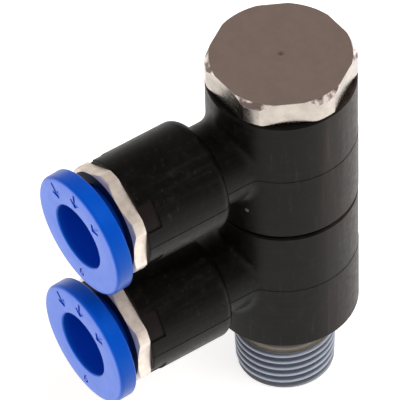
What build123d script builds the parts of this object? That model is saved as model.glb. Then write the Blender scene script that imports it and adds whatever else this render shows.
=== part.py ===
"""Push-in manifold fitting: two swivelling tube ports stacked on one hollow stud.

Millimetres. +Z runs up the stud axis and z = 0 is the gauge plane of the taper thread. Both arms point
along -Y. A "station" is a distance from the stud axis along an arm, measured out towards its mouth.
"""
from build123d import *
import os
from math import radians, tan

# Thread end for R 1/8, kept plain at the crest radius of the gauge plane
THREAD_GAUGE_R = 4.864
TIP_BELOW_GAUGE = 4.1
TIP_CHAMFER = 0.2
THREAD_TOP_Z = 1.1
RELIEF_DEPTH = 0.43
RELIEF_LENGTH = 1.6

# Stud: shank, flow bore, and a gallery between two O-ring grooves inside each body
SHANK_R = 5.05
FLOW_BORE_R = 2.7
BORE_PAST_GALLERY = 2.2
DRILL_POINT_HEIGHT = 1.4
GALLERY_DEPTH = 0.85
GALLERY_WIDTH = 3.8
CROSS_HOLE_R = 1.5
CROSS_HOLES = 4
STUD_SEAL_OFFSET = 3.3
STUD_SEAL_SECTION_R = 0.4
STUD_SEAL_SIDES = 8
STUD_SEAL_GROOVE_WIDTH = 1.1
STUD_SEAL_GROOVE_DEPTH = 0.85

# Hexagon head, six flats milled on the round bar that the stud is turned from
HEAD_ACROSS_FLATS = 13.0
HEAD_TURN = 1.5
HEAD_HEIGHT = 2.55
HEAD_CHAMFER_WIDTH = 0.43
HEAD_CHAMFER_DEPTH = 0.55
HEAD_UNDER_CHAMFER = 0.12
PIP_R = 0.35
PIP_DEPTH = 0.12

# Stack of the two bodies, with the collar and washers that part them
FOOT_Z = 4.47
FOOT_SKIRT = 0.36
BELOW_AXIS = 7.36
ABOVE_AXIS = 7.18
SEAM = 0.26
HEAD_GAP = 0.06
WASHER_CLEARANCE = 0.05
STACK_WASHER_WIDTH = 1.45
HEAD_WASHER_WIDTH = 1.05
HEAD_WASHER_RECESS = 0.3
COLLAR_WIDTH = 0.95
COLLAR_HEIGHT = 1.2
SWIVEL_CLEARANCE = 0.05

# Moulded body: ring round the stud, neck, and arm
BODY_WALL = 2.03
BODY_EDGE = 0.18
PARTING_STEP = 0.03
NECK_LENGTH = 2.32
NECK_TO_RING_FILLET = 1.1
NECK_TO_ARM_CHAMFER = 0.35
ARM_STEP = 1.45
ARM_START_ROUND = 1.0
ARM_LENGTH = 9.4
ARM_WALL = 0.75

# Four shallow finger recesses at the mouth of each arm, turned this far above and below its sides
RECESS_TURNS = (33.5, 146.5, 213.5, 326.5)
RECESS_LENGTH = 1.7
RECESS_DEPTH = 0.18
RECESS_ANGLE = 29

# Tube of 6 mm, its seat, and the cartridge that grips and seals it
TUBE_R = 3.0
TUBE_SEAT_CLEARANCE = 0.05
TUBE_SEAT_LENGTH = 3.5
TUBE_STOP_STEP = 1.15
SEAL_LIP_SQUEEZE = 0.1
SEAL_WALL = 0.45
SEAL_CHAMBER_STEP = 0.35
SEAL_CHAMBER_LENGTH = 2.2
BUSH_LENGTH = 0.8
CLAW_FINGERS = 10
CLAW_FINGER_GAP = 0.45
CLAW_BITE = 0.08
CLAW_RIM_WIDTH = 0.8
CLAW_THICKNESS = 0.25
CLAW_LEAN = 0.65
CARTRIDGE_CLEARANCE = 0.05

# Guide ring in the mouth
GUIDE_FLANGE_LENGTH = 1.4
GUIDE_FLAT_DEPTH = 0.45
GUIDE_TURN = 28.5
GUIDE_CHAMFER_WIDTH = 0.45
GUIDE_CHAMFER_DEPTH = 0.28
GUIDE_LIP_LENGTH = 2.65
GUIDE_WALL = 0.4

# Release ring
RELEASE_TRAVEL = 0.9
RELEASE_STOP_GAP = 0.05
RELEASE_FLANGE_LENGTH = 1.9
RELEASE_FLANGE_OVERHANG = 0.65
RELEASE_RIM_ROUND = 0.4
RELEASE_BACK_CHAMFER = 0.3
RELEASE_MOUTH_CHAMFER = 0.3
RELEASE_BORE_CLEARANCE = 0.3
RELEASE_RUNNING_CLEARANCE = 0.06
SLEEVE_WALL = 0.6
BARB_HEIGHT = 0.35
BARB_CLEARANCE = 0.1
BARB_LENGTH = 0.9
NOSE_LENGTH = 0.35
SLEEVE_SLOTS = 4
SLEEVE_SLOT_WIDTH = 0.9
SLEEVE_SLOT_LENGTH = 2.6

# How far a cutting solid runs past what it cuts
PAST = 1.0

# Radii on the stud, out from the shank
RELIEF_R = SHANK_R - RELIEF_DEPTH
GALLERY_R = SHANK_R - GALLERY_DEPTH
STUD_SEAL_GROOVE_R = SHANK_R - STUD_SEAL_GROOVE_DEPTH
BODY_BORE_R = SHANK_R + SWIVEL_CLEARANCE
COLLAR_R = SHANK_R + COLLAR_WIDTH
HEAD_WASHER_R = SHANK_R + HEAD_WASHER_WIDTH
STACK_WASHER_R = SHANK_R + STACK_WASHER_WIDTH
BODY_R = SHANK_R + BODY_WALL

# Radii in an arm, out from the tube
TUBE_SEAT_R = TUBE_R + TUBE_SEAT_CLEARANCE
PASSAGE_R = TUBE_SEAT_R - TUBE_STOP_STEP
SEAL_LIP_R = TUBE_R - SEAL_LIP_SQUEEZE
CLAW_TIP_R = TUBE_R - CLAW_BITE
RELEASE_BORE_R = TUBE_R + RELEASE_BORE_CLEARANCE
SLEEVE_R = RELEASE_BORE_R + SLEEVE_WALL
GUIDE_BORE_R = SLEEVE_R + RELEASE_RUNNING_CLEARANCE
BARB_R = SLEEVE_R + BARB_HEIGHT
BARB_CHAMBER_R = BARB_R + BARB_CLEARANCE
CARTRIDGE_R = BARB_CHAMBER_R + GUIDE_WALL
CLAW_RIM_INNER_R = CARTRIDGE_R - CLAW_RIM_WIDTH
SEAL_CHAMBER_R = CARTRIDGE_R - SEAL_CHAMBER_STEP
ARM_R = CARTRIDGE_R + ARM_WALL
NECK_R = ARM_R - ARM_STEP
RELEASE_FLANGE_R = ARM_R + RELEASE_FLANGE_OVERHANG

# Heights up the stud
TIP_Z = -TIP_BELOW_GAUGE
LOWER_AXIS_Z = FOOT_Z + FOOT_SKIRT + BELOW_AXIS
UPPER_AXIS_Z = LOWER_AXIS_Z + ABOVE_AXIS + SEAM + BELOW_AXIS
CROWN_Z = UPPER_AXIS_Z + ABOVE_AXIS
HEAD_Z = CROWN_Z + HEAD_GAP
HEAD_TOP_Z = HEAD_Z + HEAD_HEIGHT

# Stations along an arm
ARM_START = BODY_R + NECK_LENGTH
MOUTH = ARM_START + ARM_LENGTH
GUIDE_FACE = MOUTH + GUIDE_FLANGE_LENGTH
RELEASE_BACK = GUIDE_FACE + RELEASE_TRAVEL + RELEASE_STOP_GAP
RELEASE_FACE = RELEASE_BACK + RELEASE_FLANGE_LENGTH
LIP_BACK = GUIDE_FACE - GUIDE_LIP_LENGTH
BARB_SHOULDER = LIP_BACK - RELEASE_STOP_GAP
NOSE_BACK = BARB_SHOULDER - BARB_LENGTH
NOSE_TIP = NOSE_BACK - NOSE_LENGTH
CLAW_FACE = NOSE_TIP - RELEASE_TRAVEL - CARTRIDGE_CLEARANCE
CLAW_BACK = CLAW_FACE - CLAW_THICKNESS
BUSH_BACK = CLAW_BACK - BUSH_LENGTH
SEAL_BACK = BUSH_BACK - SEAL_CHAMBER_LENGTH
TUBE_STOP = SEAL_BACK - TUBE_SEAT_LENGTH


def turned(outline, *rounds):
    """Revolve a closed outline of (radius, height) points about Z, after rounding (corner, radius) pairs."""
    face = make_face(Polyline(*outline, close=True))
    for corner, radius in rounds:
        face = fillet(face.vertices().sort_by_distance(Vector(*corner))[0], radius)
    return revolve(Plane.XZ * face, Axis.Z)


def tube(outer_r, inner_r, low, high):
    """A plain ring between two heights."""
    return turned([(inner_r, low), (outer_r, low), (outer_r, high), (inner_r, high)])


def rod(radius, low, high):
    """A round bar on the Z axis between two heights."""
    return Pos(0, 0, (low + high) / 2) * Cylinder(radius, high - low)


def hexagon_bar(across_flats, low, high):
    """A hexagonal bar with one flat facing -Y."""
    outline = RegularPolygon(across_flats / 2, 6, major_radius=False)
    return Pos(0, 0, low) * extrude(outline, high - low)


def on_arm(solid, axis_z):
    """Carry a solid from the Z axis onto an arm, so that +Z becomes the way out of the mouth."""
    return Pos(0, 0, axis_z) * Rot(90, 0, 0) * solid


def stud_blank():
    """The stud as it comes off the lathe, solid, up to the underside of its head."""
    relief_high = THREAD_TOP_Z + RELIEF_LENGTH
    return turned(
        [
            (0, TIP_Z),
            (THREAD_GAUGE_R - TIP_CHAMFER, TIP_Z),
            (THREAD_GAUGE_R, TIP_Z + TIP_CHAMFER),
            (THREAD_GAUGE_R, THREAD_TOP_Z),
            (RELIEF_R, THREAD_TOP_Z),
            (RELIEF_R, relief_high),
            (SHANK_R, relief_high + RELIEF_DEPTH),
            (SHANK_R, HEAD_Z),
            (0, HEAD_Z),
        ]
    )


def stud_head():
    """Six flats on a round bar, with a turned chamfer above and a small pip left by the parting tool."""
    blank = turned(
        [
            (0, HEAD_Z),
            (BODY_R - HEAD_UNDER_CHAMFER, HEAD_Z),
            (BODY_R, HEAD_Z + HEAD_UNDER_CHAMFER),
            (BODY_R, HEAD_TOP_Z - HEAD_CHAMFER_DEPTH),
            (BODY_R - HEAD_CHAMFER_WIDTH, HEAD_TOP_Z),
            (PIP_R, HEAD_TOP_Z),
            (0, HEAD_TOP_Z - PIP_DEPTH),
        ]
    )
    return blank & Rot(0, 0, HEAD_TURN) * hexagon_bar(HEAD_ACROSS_FLATS, HEAD_Z, HEAD_TOP_Z)


def flow_bore():
    """The blind bore up from the thread end, with the cone that the drill leaves."""
    end = UPPER_AXIS_Z + BORE_PAST_GALLERY
    return turned([(0, TIP_Z), (FLOW_BORE_R, TIP_Z), (FLOW_BORE_R, end), (0, end + DRILL_POINT_HEIGHT)])


def shank_groove(middle, width, bottom_r):
    """What a groove takes off the shank."""
    return tube(SHANK_R + PAST, bottom_r, middle - width / 2, middle + width / 2)


def stud():
    """The turned stud: thread end, relief, grooved shank and hexagon head, with its air ways."""
    body = stud_blank() + stud_head() - flow_bore()
    for axis_z in (LOWER_AXIS_Z, UPPER_AXIS_Z):
        body -= shank_groove(axis_z, GALLERY_WIDTH, GALLERY_R)
        for side in (-1, 1):
            body -= shank_groove(axis_z + side * STUD_SEAL_OFFSET, STUD_SEAL_GROOVE_WIDTH, STUD_SEAL_GROOVE_R)
        for hole in range(CROSS_HOLES):
            body -= Rot(0, 0, hole * 360 / CROSS_HOLES) * on_arm(rod(CROSS_HOLE_R, 0, SHANK_R), axis_z)
    return body


def stud_seal(middle):
    """An O-ring in its groove, a little clear of the body's bore, its section drawn with eight sides."""
    section = RegularPolygon(STUD_SEAL_SECTION_R, STUD_SEAL_SIDES)
    section = Pos(STUD_SEAL_GROOVE_R + STUD_SEAL_SECTION_R, middle) * section
    return revolve(Plane.XZ * section, Axis.Z)


def retaining_collar():
    """The collar pressed on the shank, inside the foot of the lower body."""
    low = FOOT_Z + WASHER_CLEARANCE
    return tube(COLLAR_R, SHANK_R, low, low + COLLAR_HEIGHT)


def stack_washer():
    """The washer in the seam between the two bodies."""
    low = LOWER_AXIS_Z + ABOVE_AXIS + WASHER_CLEARANCE
    return tube(STACK_WASHER_R, SHANK_R, low, low + SEAM - 2 * WASHER_CLEARANCE)


def head_washer():
    """The washer under the head, sunk in the crown of the upper body."""
    return tube(HEAD_WASHER_R, SHANK_R, CROWN_Z - HEAD_WASHER_RECESS + WASHER_CLEARANCE, HEAD_Z)


def body_form(below, grow):
    """The outside of a body about the height of its arm's axis, with every side wall moved out by grow."""
    ring = rod(BODY_R + grow, -below, ABOVE_AXIS)
    ring = chamfer(ring.edges().filter_by(GeomType.CIRCLE), BODY_EDGE)
    start = ARM_START - grow
    neck_r = NECK_R + grow
    arm_r = ARM_R + grow
    arm = turned(
        [
            (0, 0),
            (neck_r, 0),
            (neck_r, start - NECK_TO_ARM_CHAMFER),
            (neck_r + NECK_TO_ARM_CHAMFER, start),
            (arm_r, start),
            (arm_r, MOUTH - BODY_EDGE),
            (arm_r - BODY_EDGE, MOUTH),
            (0, MOUTH),
        ],
        ((arm_r, start), ARM_START_ROUND),
    )
    arm = on_arm(arm, 0)
    form = ring + arm
    return fillet(new_edges(ring, arm, combined=form), NECK_TO_RING_FILLET)


def mouth_recesses():
    """The four finger recesses, as the solids that are cut away, about the Z axis."""
    low = MOUTH - RECESS_LENGTH
    band = tube(ARM_R + PAST, ARM_R - RECESS_DEPTH, low, MOUTH + PAST)
    reach = 2 * ARM_R
    half_width = reach * tan(radians(RECESS_ANGLE / 2))
    sector = make_face(Polyline((0, 0), (reach, -half_width), (reach, half_width), close=True))
    cut = band & Pos(0, 0, low) * extrude(sector, RECESS_LENGTH + PAST)
    return [Rot(0, 0, turn) * cut for turn in RECESS_TURNS]


def arm_bores():
    """The stepped way in from the mouth to the stud, as one solid about the Z axis."""
    return turned(
        [
            (0, 0),
            (PASSAGE_R, 0),
            (PASSAGE_R, TUBE_STOP),
            (TUBE_SEAT_R, TUBE_STOP),
            (TUBE_SEAT_R, SEAL_BACK),
            (SEAL_CHAMBER_R, SEAL_BACK),
            (SEAL_CHAMBER_R, BUSH_BACK),
            (CARTRIDGE_R, BUSH_BACK),
            (CARTRIDGE_R, MOUTH + PAST),
            (0, MOUTH + PAST),
        ]
    )


def banjo_body(skirt):
    """A moulded body about its arm's axis height, its lower mould half a little fuller than the upper one."""
    below = BELOW_AXIS + skirt
    upper_half = split(body_form(below, 0), bisect_by=Plane.XY, keep=Keep.TOP)
    lower_half = split(body_form(below, PARTING_STEP), bisect_by=Plane.XY, keep=Keep.BOTTOM)
    body = upper_half + lower_half
    body -= rod(BODY_BORE_R, -below - PAST, ABOVE_AXIS + PAST)
    body -= on_arm(arm_bores(), 0)
    for cut in mouth_recesses():
        body -= on_arm(cut, 0)
    return body


def upper_body():
    """The upper body, with a recess in its crown for the washer under the head."""
    recess = tube(HEAD_WASHER_R + WASHER_CLEARANCE, SHANK_R, CROWN_Z - HEAD_WASHER_RECESS, CROWN_Z + PAST)
    return Pos(0, 0, UPPER_AXIS_Z) * banjo_body(0) - recess


def lower_body():
    """The lower body, deeper at its foot, where it covers the retaining collar."""
    recess_top = FOOT_Z + COLLAR_HEIGHT + 2 * WASHER_CLEARANCE
    recess = tube(COLLAR_R + SWIVEL_CLEARANCE, SHANK_R, FOOT_Z - PAST, recess_top)
    return Pos(0, 0, LOWER_AXIS_Z) * banjo_body(FOOT_SKIRT) - recess


def guide_ring():
    """The metal mouth ring: a six-sided flange outside the arm, and a sleeve that keeps the barbs in."""
    flange = turned(
        [
            (GUIDE_BORE_R, MOUTH),
            (ARM_R, MOUTH),
            (ARM_R, GUIDE_FACE - GUIDE_CHAMFER_DEPTH),
            (ARM_R - GUIDE_CHAMFER_WIDTH, GUIDE_FACE),
            (GUIDE_BORE_R, GUIDE_FACE),
        ]
    )
    flange &= Rot(0, 0, GUIDE_TURN) * hexagon_bar(2 * (ARM_R - GUIDE_FLAT_DEPTH), MOUTH, GUIDE_FACE)
    lip = tube(CARTRIDGE_R, GUIDE_BORE_R, LIP_BACK, MOUTH)
    return flange + lip + tube(CARTRIDGE_R, BARB_CHAMBER_R, CLAW_FACE, LIP_BACK)


def release_ring():
    """The push ring: flange, and a slotted sleeve with barbs and a nose that opens the claw."""
    ring = turned(
        [
            (RELEASE_BORE_R, NOSE_TIP),
            (SLEEVE_R - SLEEVE_WALL / 2, NOSE_TIP),
            (SLEEVE_R, NOSE_BACK),
            (BARB_R, NOSE_BACK + BARB_LENGTH / 2),
            (BARB_R, BARB_SHOULDER),
            (SLEEVE_R, BARB_SHOULDER),
            (SLEEVE_R, RELEASE_BACK),
            (RELEASE_FLANGE_R - RELEASE_BACK_CHAMFER, RELEASE_BACK),
            (RELEASE_FLANGE_R, RELEASE_BACK + RELEASE_BACK_CHAMFER),
            (RELEASE_FLANGE_R, RELEASE_FACE),
            (RELEASE_BORE_R + RELEASE_MOUTH_CHAMFER, RELEASE_FACE),
            (RELEASE_BORE_R, RELEASE_FACE - RELEASE_MOUTH_CHAMFER),
        ],
        ((RELEASE_FLANGE_R, RELEASE_FACE), RELEASE_RIM_ROUND),
    )
    cutter = Box(2 * RELEASE_FLANGE_R, SLEEVE_SLOT_WIDTH, SLEEVE_SLOT_LENGTH)
    cutter = Pos(0, 0, NOSE_TIP + SLEEVE_SLOT_LENGTH / 2) * cutter
    for slot in range(SLEEVE_SLOTS // 2):
        ring -= Rot(0, 0, (slot + 0.5) * 360 / SLEEVE_SLOTS) * cutter
    return ring


def lock_claw():
    """The sprung claw: a flat rim with fingers that lean in and away from the mouth."""
    rim_r = CARTRIDGE_R - CARTRIDGE_CLEARANCE
    claw = turned(
        [
            (CLAW_RIM_INNER_R, CLAW_BACK),
            (rim_r, CLAW_BACK),
            (rim_r, CLAW_FACE),
            (CLAW_RIM_INNER_R, CLAW_FACE),
            (CLAW_TIP_R, CLAW_FACE - CLAW_LEAN),
            (CLAW_TIP_R, CLAW_BACK - CLAW_LEAN),
        ]
    )
    height = CLAW_LEAN + CLAW_THICKNESS
    cutter = Box(CLAW_RIM_INNER_R, CLAW_FINGER_GAP, 2 * height)
    cutter = Pos(CLAW_RIM_INNER_R / 2, 0, CLAW_FACE - height) * cutter
    for finger in range(CLAW_FINGERS):
        claw -= Rot(0, 0, (finger + 0.5) * 360 / CLAW_FINGERS) * cutter
    return claw


def claw_bush():
    """The ring that backs the claw, coned inside so that the fingers can bend."""
    return turned(
        [
            (RELEASE_BORE_R, BUSH_BACK),
            (CARTRIDGE_R, BUSH_BACK),
            (CARTRIDGE_R, CLAW_BACK),
            (CLAW_RIM_INNER_R + CARTRIDGE_CLEARANCE, CLAW_BACK),
        ]
    )


def tube_seal():
    """The lip seal round the tube, open towards the pressure side."""
    back = SEAL_BACK + CARTRIDGE_CLEARANCE
    root = BUSH_BACK - SEAL_CHAMBER_LENGTH / 2
    return turned(
        [
            (SEAL_CHAMBER_R, back),
            (SEAL_CHAMBER_R, BUSH_BACK),
            (RELEASE_BORE_R, BUSH_BACK),
            (RELEASE_BORE_R, root),
            (SEAL_LIP_R, back + SEAL_WALL),
            (SEAL_LIP_R + SEAL_WALL / 2, back),
            ((SEAL_LIP_R + SEAL_CHAMBER_R) / 2, root - SEAL_WALL),
            (SEAL_CHAMBER_R - SEAL_WALL, back),
        ]
    )


def port_pieces(port, axis_z):
    """The pieces in one arm and the stud's O-rings either side of it, by node name."""
    in_arm = {
        "guide_ring": guide_ring(),
        "release_ring": release_ring(),
        "lock_claw": lock_claw(),
        "claw_bush": claw_bush(),
        "tube_seal": tube_seal(),
    }
    made = {f"{port}_{name}": on_arm(solid, axis_z) for name, solid in in_arm.items()}
    made[f"{port}_stud_seal_bottom"] = stud_seal(axis_z - STUD_SEAL_OFFSET)
    made[f"{port}_stud_seal_top"] = stud_seal(axis_z + STUD_SEAL_OFFSET)
    return made


def pieces():
    """Every piece of the fitting, by node name."""
    made = {
        "stud": stud(),
        "retaining_collar": retaining_collar(),
        "stack_washer": stack_washer(),
        "head_washer": head_washer(),
        "upper_body": upper_body(),
        "lower_body": lower_body(),
    }
    made.update(port_pieces("lower", LOWER_AXIS_Z))
    made.update(port_pieces("upper", UPPER_AXIS_Z))
    return made


os.makedirs("parts", exist_ok=True)
for node, solid in pieces().items():
    export_step(solid, f"parts/{node}.step")
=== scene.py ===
import bmesh
import bpy
from math import cos, pi, radians, sin, tan
from mathutils import Matrix, Vector


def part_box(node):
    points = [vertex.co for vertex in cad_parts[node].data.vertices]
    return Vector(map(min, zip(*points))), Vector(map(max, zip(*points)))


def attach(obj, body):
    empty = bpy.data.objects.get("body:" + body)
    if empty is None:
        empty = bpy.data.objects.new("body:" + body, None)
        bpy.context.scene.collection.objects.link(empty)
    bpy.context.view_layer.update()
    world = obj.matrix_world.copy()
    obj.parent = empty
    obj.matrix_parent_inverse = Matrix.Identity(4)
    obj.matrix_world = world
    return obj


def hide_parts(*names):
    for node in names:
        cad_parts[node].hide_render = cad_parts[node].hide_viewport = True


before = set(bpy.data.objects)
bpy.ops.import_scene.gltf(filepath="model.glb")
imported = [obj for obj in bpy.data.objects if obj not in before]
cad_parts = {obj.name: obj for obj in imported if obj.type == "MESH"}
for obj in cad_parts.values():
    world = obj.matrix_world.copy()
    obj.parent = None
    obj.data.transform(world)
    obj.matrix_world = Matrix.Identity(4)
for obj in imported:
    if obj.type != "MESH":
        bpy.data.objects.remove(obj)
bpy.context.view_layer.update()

# The script's own unit is the millimetre, and MM turns it into Blender's metres
MM = 0.001
PORTS = ("upper", "lower")

# Camera, fitted to the photograph
CAMERA_AZIMUTH = 56.018
CAMERA_ELEVATION = 46.705
CAMERA_ROLL = -1.554
CAMERA_DISTANCE = 637.2
CAMERA_TARGET = Vector((-3.560, -6.987, 18.535))
CAMERA_LENS = 612.45

# Light and floor: the world's colours, the heights between which one turns into the other,
# and a floor that only the camera and reflections see as white
HORIZON_COLOUR = (0.66, 0.63, 0.60)
CEILING_COLOUR = (0.30, 0.26, 0.24)
HORIZON_HEIGHT = 0.10
CEILING_HEIGHT = 0.45
LAMP_TARGET = (0, -8, 18)
FLOOR_TARGET = (12, 28, 0)
FLOOR_HALF_SIDE = 6.0
FLOOR_GREY = 0.82
FLOOR_GLOW = 0.62

# Pipe thread R 1/8, right hand; the half crest and the flank are shares of the pitch
THREAD_PITCH = 25.4 / 28
THREAD_GAUGE_R = 4.864
THREAD_TAPER = 1 / 32
THREAD_DEPTH = 0.46
THREAD_CREST_HALF = 0.07
THREAD_FLANK = 0.33
THREAD_TOP = 1.1
THREAD_TOP_CREST = 0.55
THREAD_RUNOUT = 0.45
THREAD_TOP_SLOPE = 1.1
THREAD_TIP_SLOPE = 0.9
THREAD_CHAMFER = 0.3
THREAD_STEPS = 144
THREAD_ROWS_PER_TURN = 22
STUD_CUT_OVERLAP = 0.001
MERGE_DISTANCE = 1e-7
FLOW_BORE_R = 2.7
RELIEF_R = 4.62

# Release rings: they sit a little askew on their loose sleeves, by these turns down and sideways
RING_LEAN = {"upper": (2.9, 1.4), "lower": (2.3, 0.8)}
RING_PIVOT_DEPTH = 1.3
RING_THICKNESS = 1.78
RING_PROUD = 0.06
RING_DISH_R = 5.62
RING_DISH_DEPTH = 0.35
RING_SLEEVE_R = 3.74
RING_BORE_R = 3.3
RING_RIM_ROUND = 0.42
RING_MOUTH_ROUND = 0.22
RING_BACK_ROUND = 0.18
STEPS_ROUND = 128

# Engraved marks on a ring's face
MARK_DEPTH = 0.16
MARK_MIDDLE_R = 4.85
MARK_HEIGHT = 1.3
MARK_STROKE = 0.32
MARK_ARROW = 0.46
MARK_ANGLES = (40, 0, -40)
NUMBER_SIZE = 1.5
CUTTER_PROUD = 1.0

# Seals
O_RING_STEPS = 20
O_RING_FLASH = 0.02
TUBE_R = 3.0
LIP_WALL = 0.45
LIP_SQUEEZE = 0.1
LIP_RELIEF = 0.25
LIP_LAND = 0.5
LIP_TIP_ROUND = 0.1
LIP_ROUND = 0.15
LIP_MOUTH_ROUND = 0.2
LIP_LAND_ROUND = 0.3
LIP_THROAT_ROUND = 0.5

# The mould's gate stub on the upper body's side
GATE_PIP_R = 0.22
GATE_PIP_FLATNESS = 0.35
GATE_PIP_SUNK = 0.03
GATE_PIP_AZIMUTH = 26.8
GATE_PIP_HEIGHT = 22.56

# Where finishes, painted shade and painted sheen change, each a soft step between two values: places
# along Y or Z, and radii about the axis of the arm or the stud
RECESS_BACK_Y = (-17.2, -17.0)
RECESS_FLOOR_R = (5.38, 5.44)
# Painted shade on the guide rings' front faces and in their bores
GUIDE_FACE_Y = (-20.15, -20.05)
GUIDE_FACE_R = (5.1, 5.7)
GUIDE_BORE_Y = (-19.7, -19.6)
GUIDE_BORE_R = (4.85, 5.05)
# The stud's neck, and the step on it where its painted shade turns near black
STUD_NECK_Z = (3.6, 4.2)
STUD_NECK_SHADE_Z = (1.25, 1.65)
HEAD_PIP_R = (0.30, 0.55)
THREAD_PALE_CREST_DEPTH = (0.03, 0.16)
THREAD_TIP_Z = (-3.9, -3.5)
# The push rings' painted sheen on their front faces, and painted shade in their bores
RING_FACE_Y = (-22.75, -22.6)
RING_BORE_Y = (-22.9, -22.3)
RING_BORE_SHADE_R = (3.5, 3.7)

# A painted warm sheen lies on the right side of the bodies, from a step across this level direction
SHEEN_SIDE_X = 0.56
SHEEN_SIDE_Y = 0.83
SHEEN_START = (3.0, 4.0)


def link(name, data):
    """Put new data in the scene as an object."""
    obj = bpy.data.objects.new(name, data)
    bpy.context.scene.collection.objects.link(obj)
    return obj


def link_mesh(name, bm):
    """Put a finished bmesh in the scene as an object, and free it."""
    mesh = bpy.data.meshes.new(name)
    bm.to_mesh(mesh)
    bm.free()
    return link(name, mesh)


def direction(azimuth, elevation):
    """The way to a place seen at these angles, where azimuth 0 is the mouths' side."""
    a, e = radians(azimuth), radians(elevation)
    return Vector((sin(a) * cos(e), -cos(a) * cos(e), sin(e)))


def axis_height(port, node):
    """The height in metres of the arm's axis, from a round node that lies on it."""
    low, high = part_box(f"{port}_{node}")
    return (low.z + high.z) / 2


def make_camera():
    """The camera at the photograph's place, with its slight roll."""
    back = direction(CAMERA_AZIMUTH, CAMERA_ELEVATION)
    data = bpy.data.cameras.new("camera")
    data.lens = CAMERA_LENS
    data.clip_end = 50
    camera = link("camera", data)
    turn = back.to_track_quat("Z", "Y").to_matrix() @ Matrix.Rotation(radians(CAMERA_ROLL), 3, "Z")
    place = (CAMERA_TARGET + back * CAMERA_DISTANCE) * MM
    camera.matrix_world = Matrix.Translation(place) @ turn.to_4x4()
    bpy.context.scene.camera = camera


class Nodes:
    """A short way to write a material's node tree."""

    def __init__(self, name):
        self.material = bpy.data.materials.new(name)
        self.material.use_nodes = True
        self.tree = self.material.node_tree
        self.shader = self.tree.nodes["Principled BSDF"]

    def add(self, kind, inputs=None, **settings):
        """A node with its settings, and its inputs as constants or as other nodes' outputs."""
        node = self.tree.nodes.new(kind)
        for key, value in settings.items():
            setattr(node, key, value)
        for key, value in (inputs or {}).items():
            self.set(node.inputs[key], value)
        return node

    def set(self, socket, value):
        """Join an output to a socket, or give the socket a constant."""
        if isinstance(value, bpy.types.NodeSocket):
            self.tree.links.new(value, socket)
        else:
            socket.default_value = value

    def math(self, operation, *values):
        """A Math node's output."""
        node = self.add("ShaderNodeMath", operation=operation)
        for socket, value in zip(node.inputs, values):
            self.set(socket, value)
        return node.outputs[0]

    def plus(self, a, b):
        """The sum of two values."""
        return self.math("ADD", a, b)

    def times(self, a, b):
        """The product of two values."""
        return self.math("MULTIPLY", a, b)

    def point(self):
        """Where the shaded point is, in millimetres in the part's own frame: the vector, x, y and z."""
        place = self.add("ShaderNodeTexCoord").outputs["Object"]
        scaled = self.add("ShaderNodeVectorMath", {0: place, 3: 1 / MM}, operation="SCALE").outputs[0]
        split = self.add("ShaderNodeSeparateXYZ", {0: scaled})
        return scaled, split.outputs[0], split.outputs[1], split.outputs[2]

    def facing(self, axis):
        """How far the surface faces along an axis, from -1 to 1, where 1 is the Y axis and 2 is Z."""
        normal = self.add("ShaderNodeNewGeometry").outputs["Normal"]
        return self.add("ShaderNodeSeparateXYZ", {0: normal}).outputs[axis]

    def distance(self, a, b):
        """The length of a vector of two parts."""
        return self.math("SQRT", self.plus(self.times(a, a), self.times(b, b)))

    def arm_radius(self, x, z):
        """Distance from the axis of the arm that is nearer."""
        low = axis_height("lower", "guide_ring") / MM
        high = axis_height("upper", "guide_ring") / MM
        upper = self.math("GREATER_THAN", z, (low + high) / 2)
        axis = self.plus(low, self.times(upper, high - low))
        return self.distance(x, self.math("SUBTRACT", z, axis))

    def stretched(self, vector, scale):
        """A place scaled by its own amount along each axis, so that noise read there is drawn out."""
        return self.add("ShaderNodeVectorMath", {0: vector, 1: scale}, operation="MULTIPLY").outputs[0]

    def noise(self, vector, scale, detail, roughness=0.5):
        """A noise texture's value, by its scale in lumps per millimetre."""
        node = self.add(
            "ShaderNodeTexNoise",
            {"Vector": vector, "Scale": scale, "Detail": detail, "Roughness": roughness},
        )
        return node.outputs[0]

    def ramp(self, value, low, high, out_low=0.0, out_high=1.0):
        """Map a value from one range to another, held at the ends."""
        return self.add(
            "ShaderNodeMapRange",
            {"Value": value, "From Min": low, "From Max": high, "To Min": out_low, "To Max": out_high},
        ).outputs[0]

    def over(self, value, step):
        """1 where a value is over a soft step, and 0 where it is under."""
        return self.ramp(value, *step)

    def under(self, value, step):
        """1 where a value is under a soft step, and 0 where it is over."""
        return self.ramp(value, *step, 1.0, 0.0)

    def mix(self, factor, first, second):
        """Mix two colours."""
        node = self.add("ShaderNodeMix", data_type="RGBA")
        self.set(node.inputs[0], factor)
        self.set(node.inputs[6], first)
        self.set(node.inputs[7], second)
        return node.outputs[2]

    def bump(self, height, distance, strength, normal=None):
        """A bump of a given depth in millimetres."""
        inputs = {"Height": height, "Distance": distance * MM, "Strength": strength}
        if normal is not None:
            inputs["Normal"] = normal
        return self.add("ShaderNodeBump", inputs).outputs[0]

    def soft_edges(self, radius):
        """Normals that round the sharp edges by a radius in millimetres."""
        return self.add("ShaderNodeBevel", {"Radius": radius * MM}, samples=6).outputs[0]

    def finish(self, **values):
        """Set the shader's sockets, by their names with underscores, and give the material."""
        for key, value in values.items():
            self.set(self.shader.inputs[key.replace("_", " ")], value)
        return self.material


def rgb(r, g, b):
    """An opaque colour."""
    return (r, g, b, 1.0)


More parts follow.
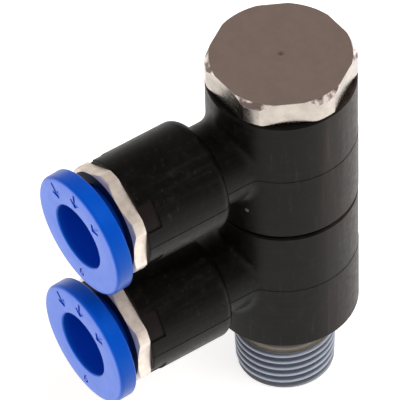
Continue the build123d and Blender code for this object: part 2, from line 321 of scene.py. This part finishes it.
def black_plastic():
    """Moulded black plastic: satin, with flow marks, fine grain, pale rubs, and a painted warm sheen in
    streaks on the right side.
    """
    m = Nodes("black_plastic")
    vector, x, y, z = m.point()
    flow = m.noise(vector, 0.35, 5)
    grain = m.noise(vector, 9.0, 3)
    mottle = m.noise(vector, 1.7, 6, 0.65)
    rub = m.ramp(m.noise(vector, 0.9, 8, 0.7), 0.54, 0.72)
    streak = m.noise(m.stretched(vector, (2.2, 2.2, 0.25)), 1.0, 3)
    streak = m.ramp(streak, 0.62, 0.74)
    wiped = m.noise(m.stretched(vector, (0.15, 0.15, 5.0)), 1.0, 4, 0.6)
    wiped = m.ramp(wiped, 0.45, 0.75, 0.0, 0.09)
    pale = m.plus(m.times(rub, 0.16), m.times(streak, 0.22))
    pale = m.plus(pale, m.ramp(mottle, 0.50, 0.76, 0.0, 0.07))
    pale = m.plus(pale, wiped)
    drawn = m.noise(m.stretched(vector, (1.0, 1.0, 0.08)), 0.8, 5, 0.65)
    drawn = m.ramp(drawn, 0.46, 0.68)
    # Painted sheen: the right side of the body is lightened and warmed in drawn-out streaks, standing in
    # for the light that falls there
    across = m.plus(m.times(x, SHEEN_SIDE_X), m.times(y, SHEEN_SIDE_Y))
    right_sheen = m.plus(m.times(drawn, 0.34), 0.10)
    right_sheen = m.times(right_sheen, m.over(across, SHEEN_START))
    sunk = m.times(m.under(m.arm_radius(x, z), RECESS_FLOOR_R), m.under(y, RECESS_BACK_Y))
    colour = m.mix(flow, rgb(0.0018, 0.0016, 0.0013), rgb(0.0030, 0.0027, 0.0022))
    colour = m.mix(pale, colour, rgb(0.048, 0.044, 0.040))
    colour = m.mix(right_sheen, colour, rgb(0.085, 0.056, 0.043))
    colour = m.mix(sunk, colour, rgb(0.0115, 0.0085, 0.0080))
    rough = m.plus(m.ramp(mottle, 0.3, 0.7, 0.28, 0.44), m.times(grain, 0.08))
    normal = m.bump(grain, 0.010, 0.5, m.soft_edges(0.07))
    normal = m.bump(m.noise(vector, 0.8, 2), 0.05, 0.25, normal)
    return m.finish(Base_Color=colour, Roughness=rough, Normal=normal, IOR=1.225)


def nickel():
    """Satin nickel plate over turned brass, with faint blotches, and painted shade on the guide rings'
    front faces and in their bores.
    """
    m = Nodes("nickel")
    vector, x, y, z = m.point()
    blotch = m.noise(vector, 0.9, 5, 0.6)
    fine = m.noise(vector, 14.0, 2)
    tint = (1.0, 0.90, 0.80)
    dark = [c * 0.74 for c in tint]
    colour = m.mix(m.ramp(blotch, 0.35, 0.7), rgb(*tint), rgb(*dark))
    radius = m.arm_radius(x, z)
    # Painted shade: the guide ring's front face, darkest towards its bore, and the bore itself are
    # coloured near black
    face = m.times(m.under(m.facing(1), (-0.96, -0.92)), m.under(y, GUIDE_FACE_Y))
    face = m.times(face, m.ramp(radius, *GUIDE_FACE_R, 1.0, 0.4))
    bore = m.times(m.under(radius, GUIDE_BORE_R), m.under(y, GUIDE_BORE_Y))
    colour = m.mix(m.math("MAXIMUM", face, bore), colour, rgb(0.03, 0.027, 0.03))
    rough = m.plus(m.ramp(blotch, 0.3, 0.7, 0.36, 0.48), m.times(fine, 0.04))
    normal = m.bump(fine, 0.006, 0.6, m.soft_edges(0.08))
    return m.finish(Base_Color=colour, Metallic=0.65, Roughness=rough, Normal=normal)


def stud_metal():
    """The stud's nickel: turned rings and a centre pip on the head, painted highlights and shade on its
    chamfer, and painted shade on its neck.
    """
    m = Nodes("stud_nickel")
    vector, x, y, z = m.point()
    radius = m.distance(x, y)
    blotch = m.noise(vector, 0.8, 6, 0.6)
    fine = m.noise(vector, 12.0, 2)
    ring_wave = m.noise(m.add("ShaderNodeCombineXYZ", {0: radius}).outputs[0], 6.0, 3)
    rise = m.facing(2)
    up = m.ramp(rise, 0.85, 0.92)
    # Painted highlights and shade on the head's chamfer: noise picks near-white glints and dark brown
    # patches, made less metallic
    chamfer_glint = m.times(m.over(rise, (0.3, 0.5)), m.under(rise, (0.75, 0.85)))
    chamfer_glint_noise = m.ramp(m.noise(vector, 0.75, 6, 0.6), 0.42, 0.56)
    chamfer_glint_colour = m.mix(chamfer_glint_noise, rgb(0.20, 0.15, 0.135), rgb(1.0, 0.90, 0.86))
    top = m.mix(m.ramp(blotch, 0.3, 0.7), rgb(0.62, 0.52, 0.475), rgb(0.55, 0.465, 0.425))
    plate = m.mix(m.ramp(blotch, 0.35, 0.7), rgb(0.54, 0.49, 0.435), rgb(0.43, 0.39, 0.345))
    plate = m.mix(up, plate, top)
    plate = m.mix(chamfer_glint, plate, chamfer_glint_colour)
    # Painted shade on the neck under the body: grey-brown low down, near black just under the body, and
    # less metallic
    neck = m.under(z, STUD_NECK_Z)
    neck_shade_colour = m.mix(m.over(z, STUD_NECK_SHADE_Z), rgb(0.36, 0.335, 0.29), rgb(0.05, 0.037, 0.028))
    plate = m.mix(neck, plate, neck_shade_colour)
    pip = m.times(up, m.under(m.plus(radius, m.times(fine, 0.3)), HEAD_PIP_R))
    plate = m.mix(pip, plate, rgb(0.33, 0.26, 0.24))
    rough = m.plus(m.ramp(blotch, 0.3, 0.7, 0.20, 0.30), m.times(up, 0.10))
    height = m.plus(m.times(fine, 0.5), m.times(m.times(ring_wave, up), 0.7))
    normal = m.bump(height, 0.006, 0.6, m.soft_edges(0.1))
    dull = m.plus(m.times(neck, 0.65), m.times(chamfer_glint, 0.5))
    metallic = m.math("SUBTRACT", 1.0, dull)
    return m.finish(Base_Color=plate, Metallic=metallic, Roughness=rough, Normal=normal)


def thread_coating():
    """Blue-grey sealant on the thread, paler along the crests and greyer at the tip."""
    m = Nodes("thread_coating")
    vector, x, y, z = m.point()
    crest = m.plus(THREAD_GAUGE_R, m.times(z, THREAD_TAPER))
    below = m.math("SUBTRACT", crest, m.distance(x, y))
    patch = m.noise(vector, 1.6, 5, 0.6)
    below = m.plus(below, m.ramp(patch, 0.3, 0.7, -0.02, 0.02))
    pale_crest = m.under(below, THREAD_PALE_CREST_DEPTH)
    coat = m.mix(patch, rgb(0.095, 0.120, 0.165), rgb(0.135, 0.165, 0.215))
    colour = m.mix(pale_crest, coat, rgb(0.46, 0.50, 0.60))
    colour = m.mix(m.ramp(z, *THREAD_TIP_Z, 0.75, 0.0), colour, rgb(0.20, 0.195, 0.195))
    rough = m.ramp(pale_crest, 0.0, 1.0, 0.42, 0.32)
    normal = m.bump(m.noise(vector, 6.0, 4), 0.02, 0.5)
    return m.finish(Base_Color=colour, Roughness=rough, Normal=normal)


def blue_plastic():
    """Moulded blue plastic, with a painted sheen that makes its front face paler than its rim, and
    painted shade in its bore.
    """
    m = Nodes("blue_plastic")
    vector, x, y, z = m.point()
    flow = m.noise(vector, 0.5, 4)
    grain = m.noise(vector, 10.0, 3)
    # Painted sheen: the front face is lightened unevenly towards lavender
    face_sheen = m.times(m.under(m.facing(1), (-0.97, -0.75)), m.under(y, RING_FACE_Y))
    face_sheen = m.times(face_sheen, m.ramp(m.noise(vector, 0.8, 5, 0.6), 0.3, 0.7, 0.8, 1.1))
    # Painted shade in the ring's bore
    bore_shade = m.times(m.under(m.arm_radius(x, z), RING_BORE_SHADE_R), m.over(y, RING_BORE_Y))
    colour = m.mix(flow, rgb(0.0008, 0.066, 0.49), rgb(0.0012, 0.084, 0.58))
    colour = m.mix(face_sheen, colour, rgb(0.115, 0.215, 0.80))
    colour = m.mix(bore_shade, colour, rgb(0.001, 0.044, 0.49))
    rough = m.plus(0.28, m.times(grain, 0.10))
    normal = m.bump(grain, 0.008, 0.4)
    tint = rgb(0.10, 0.45, 1.0)
    return m.finish(Base_Color=colour, Roughness=rough, Normal=normal, IOR=1.6, Specular_Tint=tint)


def plain(name, colour, rough, metallic=0.0, grain_scale=8.0, depth=0.01):
    """A simple finish with a little grain and unevenness, for pieces that hardly show."""
    m = Nodes(name)
    vector = m.point()[0]
    grain = m.noise(vector, grain_scale, 4)
    dark = [c * 0.75 for c in colour]
    mixed = m.mix(m.noise(vector, 0.7, 4), rgb(*dark), rgb(*colour))
    roughness = m.plus(rough - 0.05, m.times(grain, 0.1))
    normal = m.bump(grain, depth, 0.5)
    return m.finish(Base_Color=mixed, Roughness=roughness, Metallic=metallic, Normal=normal)


MATERIALS = {
    "black": black_plastic(),
    "nickel": nickel(),
    "stud": stud_metal(),
    "coating": thread_coating(),
    "blue": blue_plastic(),
    "rubber": plain("rubber", (0.022, 0.022, 0.023), 0.6),
    "washer": plain("washer_plastic", (0.03, 0.028, 0.026), 0.55),
    "steel": plain("spring_steel", (0.56, 0.56, 0.57), 0.3, metallic=1.0, grain_scale=11.0, depth=0.004),
    "bush": plain("bush_plastic", (0.66, 0.65, 0.60), 0.45),
    "stub": plain("torn_plastic", (0.16, 0.155, 0.15), 0.6, grain_scale=6.0, depth=0.05),
}


def paint(obj, *finishes):
    """Give an object its materials, the first one everywhere unless its faces say otherwise."""
    if len(obj.material_slots) > 0:
        for slot in obj.material_slots:
            slot.material = MATERIALS[finishes[0]]
    else:
        for finish in finishes:
            obj.data.materials.append(MATERIALS[finish])


def arc(corner, before, after, radius, steps=6):
    """Points of a round in place of an outline's corner."""
    to_before = (before - corner).normalized()
    to_after = (after - corner).normalized()
    half = to_before.angle(to_after) / 2
    reach = radius / tan(half)
    centre = corner + (to_before + to_after).normalized() * radius / sin(half)
    start = corner + to_before * reach - centre
    end = corner + to_after * reach - centre
    total = start.angle_signed(end)
    return [centre + Matrix.Rotation(-total * k / steps, 2) @ start for k in range(steps + 1)]


def outline(points):
    """An outline of (radius, height) or (radius, height, round) points, with its rounds drawn."""
    made = []
    for k, point in enumerate(points):
        corner = Vector(point[:2])
        if len(point) == 3:
            before = Vector(points[k - 1][:2])
            after = Vector(points[(k + 1) % len(points)][:2])
            made += arc(corner, before, after, point[2])
        else:
            made.append(corner)
    return made


def turned(name, points):
    """A closed outline turned about the Z axis, in millimetres, as a new mesh."""
    bm = bmesh.new()
    rings = []
    for k in range(STEPS_ROUND):
        a = 2 * pi * k / STEPS_ROUND
        rings.append([bm.verts.new((p.x * cos(a), p.x * sin(a), p.y)) for p in points])
    for k, ring in enumerate(rings):
        other = rings[(k + 1) % STEPS_ROUND]
        for i in range(len(points)):
            j = (i + 1) % len(points)
            bm.faces.new((ring[i], other[i], other[j], ring[j]))
    bmesh.ops.recalc_face_normals(bm, faces=bm.faces)
    return link_mesh(name, bm)


def smooth(obj, angle, second=None):
    """Shade smooth, but keep edges sharper than an angle; faces of the second material have their own."""
    obj.data.shade_smooth()
    bm = bmesh.new()
    bm.from_mesh(obj.data)
    for edge in bm.edges:
        limit = angle
        if second is not None and all(face.material_index == 1 for face in edge.link_faces):
            limit = second
        edge.smooth = len(edge.link_faces) == 2 and edge.calc_face_angle(0) < radians(limit)
    bm.to_mesh(obj.data)
    bm.free()


def settle(obj, place):
    """Move an object's mesh from the millimetre workbench to its place in metres."""
    obj.data.transform(place)
    obj.data.update()


def arm_place(port):
    """From the Z axis to a port's arm, in metres: +Z becomes the way out of the mouth."""
    lift = Matrix.Translation((0, 0, axis_height(port, "release_ring")))
    return lift @ Matrix.Rotation(pi / 2, 4, "X") @ Matrix.Scale(MM, 4)


def stations(port, node):
    """A node's outer radius and its stations along the arm, nearest and farthest, in millimetres."""
    low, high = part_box(f"{port}_{node}")
    return (high.x - low.x) / 2 / MM, -high.y / MM, -low.y / MM


def thread_radius(angle, height):
    """The pipe thread's surface: a rounded ridge on a right-hand helix, run out at its top."""
    turn = (angle - radians(CAMERA_AZIMUTH - 90)) / (2 * pi)
    phase = (height - THREAD_TOP_CREST) / THREAD_PITCH - turn
    phase -= round(phase)
    flank = max(0.0, min(1.0, (abs(phase) - THREAD_CREST_HALF) / THREAD_FLANK))
    depth = THREAD_DEPTH * flank * flank * (3 - 2 * flank)
    fade = max(0.0, min(1.0, (THREAD_TOP - height) / THREAD_RUNOUT))
    return THREAD_GAUGE_R + height * THREAD_TAPER - depth * fade


def stud_piece():
    """The stud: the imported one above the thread, and a true helical thread with its coating below."""
    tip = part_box("stud")[0].z / MM
    bm = bmesh.new()
    bm.from_mesh(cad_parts["stud"].data)
    bmesh.ops.remove_doubles(bm, verts=bm.verts, dist=MERGE_DISTANCE)
    cut = (0, 0, (THREAD_TOP - STUD_CUT_OVERLAP) * MM)
    everything = bm.verts[:] + bm.edges[:] + bm.faces[:]
    bmesh.ops.bisect_plane(bm, geom=everything, plane_co=cut, plane_no=(0, 0, 1), clear_inner=True)
    rows = int((THREAD_TOP - tip) / THREAD_PITCH * THREAD_ROWS_PER_TURN)
    profile_heights = [tip + (THREAD_TOP - tip) * k / rows for k in range(rows + 1)]
    columns = []
    for k in range(THREAD_STEPS):
        a = 2 * pi * k / THREAD_STEPS
        column = [Vector((FLOW_BORE_R, THREAD_TOP)), Vector((FLOW_BORE_R, tip))]
        for height in profile_heights:
            tip_cone = THREAD_GAUGE_R - THREAD_CHAMFER + (height - tip) * THREAD_TIP_SLOPE
            top_cone = RELIEF_R + (THREAD_TOP - height) * THREAD_TOP_SLOPE
            column.append(Vector((min(thread_radius(a, height), tip_cone, top_cone), height)))
        columns.append([bm.verts.new((p.x * cos(a) * MM, p.x * sin(a) * MM, p.y * MM)) for p in column])
    for k, column in enumerate(columns):
        other = columns[(k + 1) % THREAD_STEPS]
        for i in range(len(column)):
            j = (i + 1) % len(column)
            face = bm.faces.new((column[i], other[i], other[j], column[j]))
            face.material_index = 1 if i > 0 and i < len(column) - 1 else 0
    bmesh.ops.recalc_face_normals(bm, faces=bm.faces)
    obj = link_mesh("threaded_stud", bm)
    paint(obj, "stud", "coating")
    smooth(obj, angle=12, second=50)
    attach(obj, "stud_group")
    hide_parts("stud")


def prism(name, corners, low, high):
    """A straight-sided block over a flat outline, in millimetres."""
    bm = bmesh.new()
    bottom = [bm.verts.new((x, y, low)) for x, y in corners]
    top = [bm.verts.new((x, y, high)) for x, y in corners]
    bm.faces.new(bottom[::-1])
    bm.faces.new(top)
    for i in range(len(corners)):
        j = (i + 1) % len(corners)
        bm.faces.new((bottom[i], bottom[j], top[j], top[i]))
    bmesh.ops.recalc_face_normals(bm, faces=bm.faces)
    return link_mesh(name, bm)


def bar(start, end, width):
    """The outline of a straight stroke."""
    along = (Vector(end) - Vector(start)).normalized() * width / 2
    side = Vector((-along.y, along.x))
    a, b = Vector(start) - along, Vector(end) + along
    return [a + side, a - side, b - side, b + side]


def push_mark(turn):
    """The strokes of one mark on the ring's face: an arrow that points in at the bore."""
    inner, outer = MARK_MIDDLE_R - MARK_HEIGHT / 2, MARK_MIDDLE_R + MARK_HEIGHT / 2
    strokes = [bar((0, inner), (0, outer), MARK_STROKE)]
    for side in (1, -1):
        strokes.append(bar((0, inner), (side * MARK_ARROW, inner + MARK_ARROW), MARK_STROKE))
    spin = Matrix.Rotation(radians(turn), 2)
    return [[spin @ corner for corner in stroke] for stroke in strokes]


def drawn_mesh(obj):
    """A new mesh of an object as it is drawn, with its modifiers applied."""
    bpy.context.view_layer.update()
    return bpy.data.meshes.new_from_object(obj.evaluated_get(bpy.context.evaluated_depsgraph_get()))


def number_mark(text, place):
    """A plain number as a mesh block, its middle at a place on the ring's face."""
    curve = bpy.data.curves.new("number", "FONT")
    curve.body = text
    curve.size = NUMBER_SIZE
    curve.align_x = "CENTER"
    curve.align_y = "CENTER"
    curve.extrude = MARK_DEPTH
    curve.resolution_u = 4
    obj = link("number", curve)
    mesh = drawn_mesh(obj)
    bpy.data.objects.remove(obj)
    mesh.transform(Matrix.Translation(place))
    return link("number_block", mesh)


def carve(obj, cutters):
    """Cut blocks out of an object, and drop the blocks."""
    for cutter in cutters:
        modifier = obj.modifiers.new("cut", "BOOLEAN")
        modifier.operation = "DIFFERENCE"
        modifier.solver = "EXACT"
        modifier.object = cutter
    carved = drawn_mesh(obj)
    obj.modifiers.clear()
    obj.data = carved
    for cutter in cutters:
        bpy.data.objects.remove(cutter)


def release_ring(port):
    """The blue push ring, with a rounded rim and engraved marks, leaning a little on its sleeve."""
    flange_r, nose, face = stations(port, "release_ring")
    guide_face = stations(port, "guide_ring")[2]
    back = face - RING_THICKNESS
    points = outline(
        [
            (RING_BORE_R, nose),
            (RING_SLEEVE_R, nose),
            (RING_SLEEVE_R, back + RING_DISH_DEPTH),
            (RING_DISH_R, back + RING_DISH_DEPTH),
            (RING_DISH_R, back),
            (flange_r + RING_PROUD, back, RING_BACK_ROUND),
            (flange_r + RING_PROUD, face, RING_RIM_ROUND),
            (RING_BORE_R, face, RING_MOUTH_ROUND),
        ]
    )
    obj = turned(f"{port}_push_ring", points)
    cutters = []
    for turn in MARK_ANGLES:
        for stroke in push_mark(turn):
            cutters.append(prism("mark", stroke, face - MARK_DEPTH, face + CUTTER_PROUD))
    tube_size = f"{2 * TUBE_R:g}"
    cutters.append(number_mark(tube_size, Vector((0, -MARK_MIDDLE_R, face))))
    carve(obj, cutters)
    paint(obj, "blue")
    smooth(obj, angle=35)
    pivot = Matrix.Translation((0, 0, guide_face - RING_PIVOT_DEPTH))
    down, sideways = [radians(angle) for angle in RING_LEAN[port]]
    lean = pivot @ Matrix.Rotation(sideways, 4, "Y") @ Matrix.Rotation(down, 4, "X") @ pivot.inverted()
    settle(obj, arm_place(port) @ lean)
    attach(obj, f"{port}_release")
    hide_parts(f"{port}_release_ring")


def lamp(name, azimuth, elevation, distance, size, power, target=LAMP_TARGET):
    """A soft round lamp aimed at a place, that adds light but no bright spot of its own."""
    data = bpy.data.lights.new(name, "AREA")
    data.shape = "DISK"
    data.size = size
    data.energy = power
    made = link(name, data)
    back = direction(azimuth, elevation)
    place = Matrix.Translation(Vector(target) * MM + back * distance)
    made.matrix_world = place @ back.to_track_quat("Z", "Y").to_matrix().to_4x4()
    made.visible_glossy = False
    made.visible_camera = False


def lights():
    """Plain soft studio light: a world that is palest low down, a lamp in front, one above at the
    right, and a weak one over the floor behind."""
    lamp("front", 5, 25, distance=0.8, size=0.4, power=3.0)
    lamp("overhead", 110, 65, distance=0.8, size=0.5, power=2.0)
    lamp("floor_behind", 160, 60, distance=0.12, size=0.06, power=0.08, target=FLOOR_TARGET)
    world = bpy.data.worlds.new("studio")
    bpy.context.scene.world = world
    world.use_nodes = True
    nodes, links = world.node_tree.nodes, world.node_tree.links
    coordinate = nodes.new("ShaderNodeTexCoord")
    split = nodes.new("ShaderNodeSeparateXYZ")
    links.new(coordinate.outputs["Generated"], split.inputs[0])
    grade = nodes.new("ShaderNodeMapRange")
    links.new(split.outputs[2], grade.inputs["Value"])
    grade.inputs["From Min"].default_value = HORIZON_HEIGHT
    grade.inputs["From Max"].default_value = CEILING_HEIGHT
    blend = nodes.new("ShaderNodeMix")
    blend.data_type = "RGBA"
    links.new(grade.outputs[0], blend.inputs[0])
    blend.inputs[6].default_value = rgb(*HORIZON_COLOUR)
    blend.inputs[7].default_value = rgb(*CEILING_COLOUR)
    links.new(blend.outputs[2], nodes["Background"].inputs["Color"])


def stage():
    """A plain pale floor under the thread's tip, that reads as white paper."""
    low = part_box("stud")[0].z
    mesh = bpy.data.meshes.new("floor")
    half = FLOOR_HALF_SIDE
    corners = [(-half, -half, low), (half, -half, low), (half, half, low), (-half, half, low)]
    mesh.from_pydata(corners, [], [(0, 1, 2, 3)])
    floor = link("floor", mesh)
    m = Nodes("paper")
    path = m.add("ShaderNodeLightPath")
    seen = m.math("MAXIMUM", path.outputs["Is Camera Ray"], path.outputs["Is Glossy Ray"])
    seen = m.math("MAXIMUM", seen, path.outputs["Is Transmission Ray"])
    paper = rgb(FLOOR_GREY, FLOOR_GREY, FLOOR_GREY)
    m.finish(Base_Color=paper, Roughness=0.9, Emission_Color=rgb(1, 1, 1))
    m.set(m.shader.inputs["Emission Strength"], m.times(seen, FLOOR_GLOW))
    mesh.materials.append(m.material)


def dress_cad():
    """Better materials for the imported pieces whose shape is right."""
    finishes = {"body": "black", "guide_ring": "nickel", "lock_claw": "steel", "claw_bush": "bush"}
    for port in PORTS:
        for part, finish in finishes.items():
            paint(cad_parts[f"{port}_{part}"], finish)
    paint(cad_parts["retaining_collar"], "nickel")
    paint(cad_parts["stack_washer"], "washer")
    paint(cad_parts["head_washer"], "washer")


def gate_pip(port):
    """The small torn stub that the mould's gate leaves on a body's side."""
    bm = bmesh.new()
    bmesh.ops.create_uvsphere(bm, u_segments=20, v_segments=10, radius=GATE_PIP_R)
    bmesh.ops.scale(bm, vec=(1.0, 1.0, GATE_PIP_FLATNESS), verts=bm.verts)
    obj = link_mesh(f"{port}_gate_pip", bm)
    body_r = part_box(f"{port}_body")[1].x / MM
    out = direction(GATE_PIP_AZIMUTH, 0)
    spot = out * (body_r - GATE_PIP_SUNK) + Vector((0, 0, GATE_PIP_HEIGHT))
    turn = out.to_track_quat("Z", "Y").to_matrix().to_4x4()
    settle(obj, Matrix.Scale(MM, 4) @ Matrix.Translation(spot) @ turn)
    paint(obj, "stub")
    smooth(obj, angle=60)
    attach(obj, f"{port}_port")


def o_ring(port, place):
    """A round rubber ring between body and stud, with the fine flash line of its mould."""
    low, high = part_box(f"{port}_stud_seal_{place}")
    section = (high.z - low.z) / 2 / MM
    middle_r = high.x / MM - section
    points = []
    for k in range(O_RING_STEPS):
        a = 2 * pi * k / O_RING_STEPS
        reach = section - (0.0 if k % (O_RING_STEPS // 2) == 0 else O_RING_FLASH)
        points.append(Vector((middle_r + reach * cos(a), reach * sin(a))))
    obj = turned(f"{port}_o_ring_{place}", points)
    settle(obj, Matrix.Scale(MM, 4) @ Matrix.Translation((0, 0, (low.z + high.z) / 2 / MM)))
    paint(obj, "rubber")
    smooth(obj, angle=40)
    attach(obj, f"{port}_port")
    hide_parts(f"{port}_stud_seal_{place}")


def lip_seal(port):
    """The soft seal round the tube, with rounded lips open towards the pressure side."""
    outer, back, front = stations(port, "tube_seal")
    groove_r = (TUBE_R + LIP_WALL / 2 + outer) / 2
    points = outline(
        [
            (outer, back, LIP_TIP_ROUND),
            (outer, front, LIP_ROUND),
            (TUBE_R, front, LIP_MOUTH_ROUND),
            (TUBE_R, front - LIP_LAND, LIP_LAND_ROUND),
            (TUBE_R + LIP_RELIEF, (back + front) / 2, LIP_THROAT_ROUND),
            (TUBE_R - LIP_SQUEEZE, back + LIP_WALL, LIP_ROUND),
            (TUBE_R + LIP_WALL / 2, back, LIP_TIP_ROUND),
            (groove_r, (back + front) / 2 - LIP_WALL, LIP_ROUND),
            (outer - LIP_WALL, back, LIP_TIP_ROUND),
        ]
    )
    obj = turned(f"{port}_lip_seal", points)
    settle(obj, arm_place(port))
    paint(obj, "rubber")
    smooth(obj, angle=40)
    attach(obj, f"{port}_port")
    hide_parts(f"{port}_tube_seal")


make_camera()
bpy.context.scene.view_settings.view_transform = "Standard"
lights()
stage()
dress_cad()
stud_piece()
for port_name in PORTS:
    release_ring(port_name)
    lip_seal(port_name)
    for seal_place in ("top", "bottom"):
        o_ring(port_name, seal_place)
gate_pip("upper")
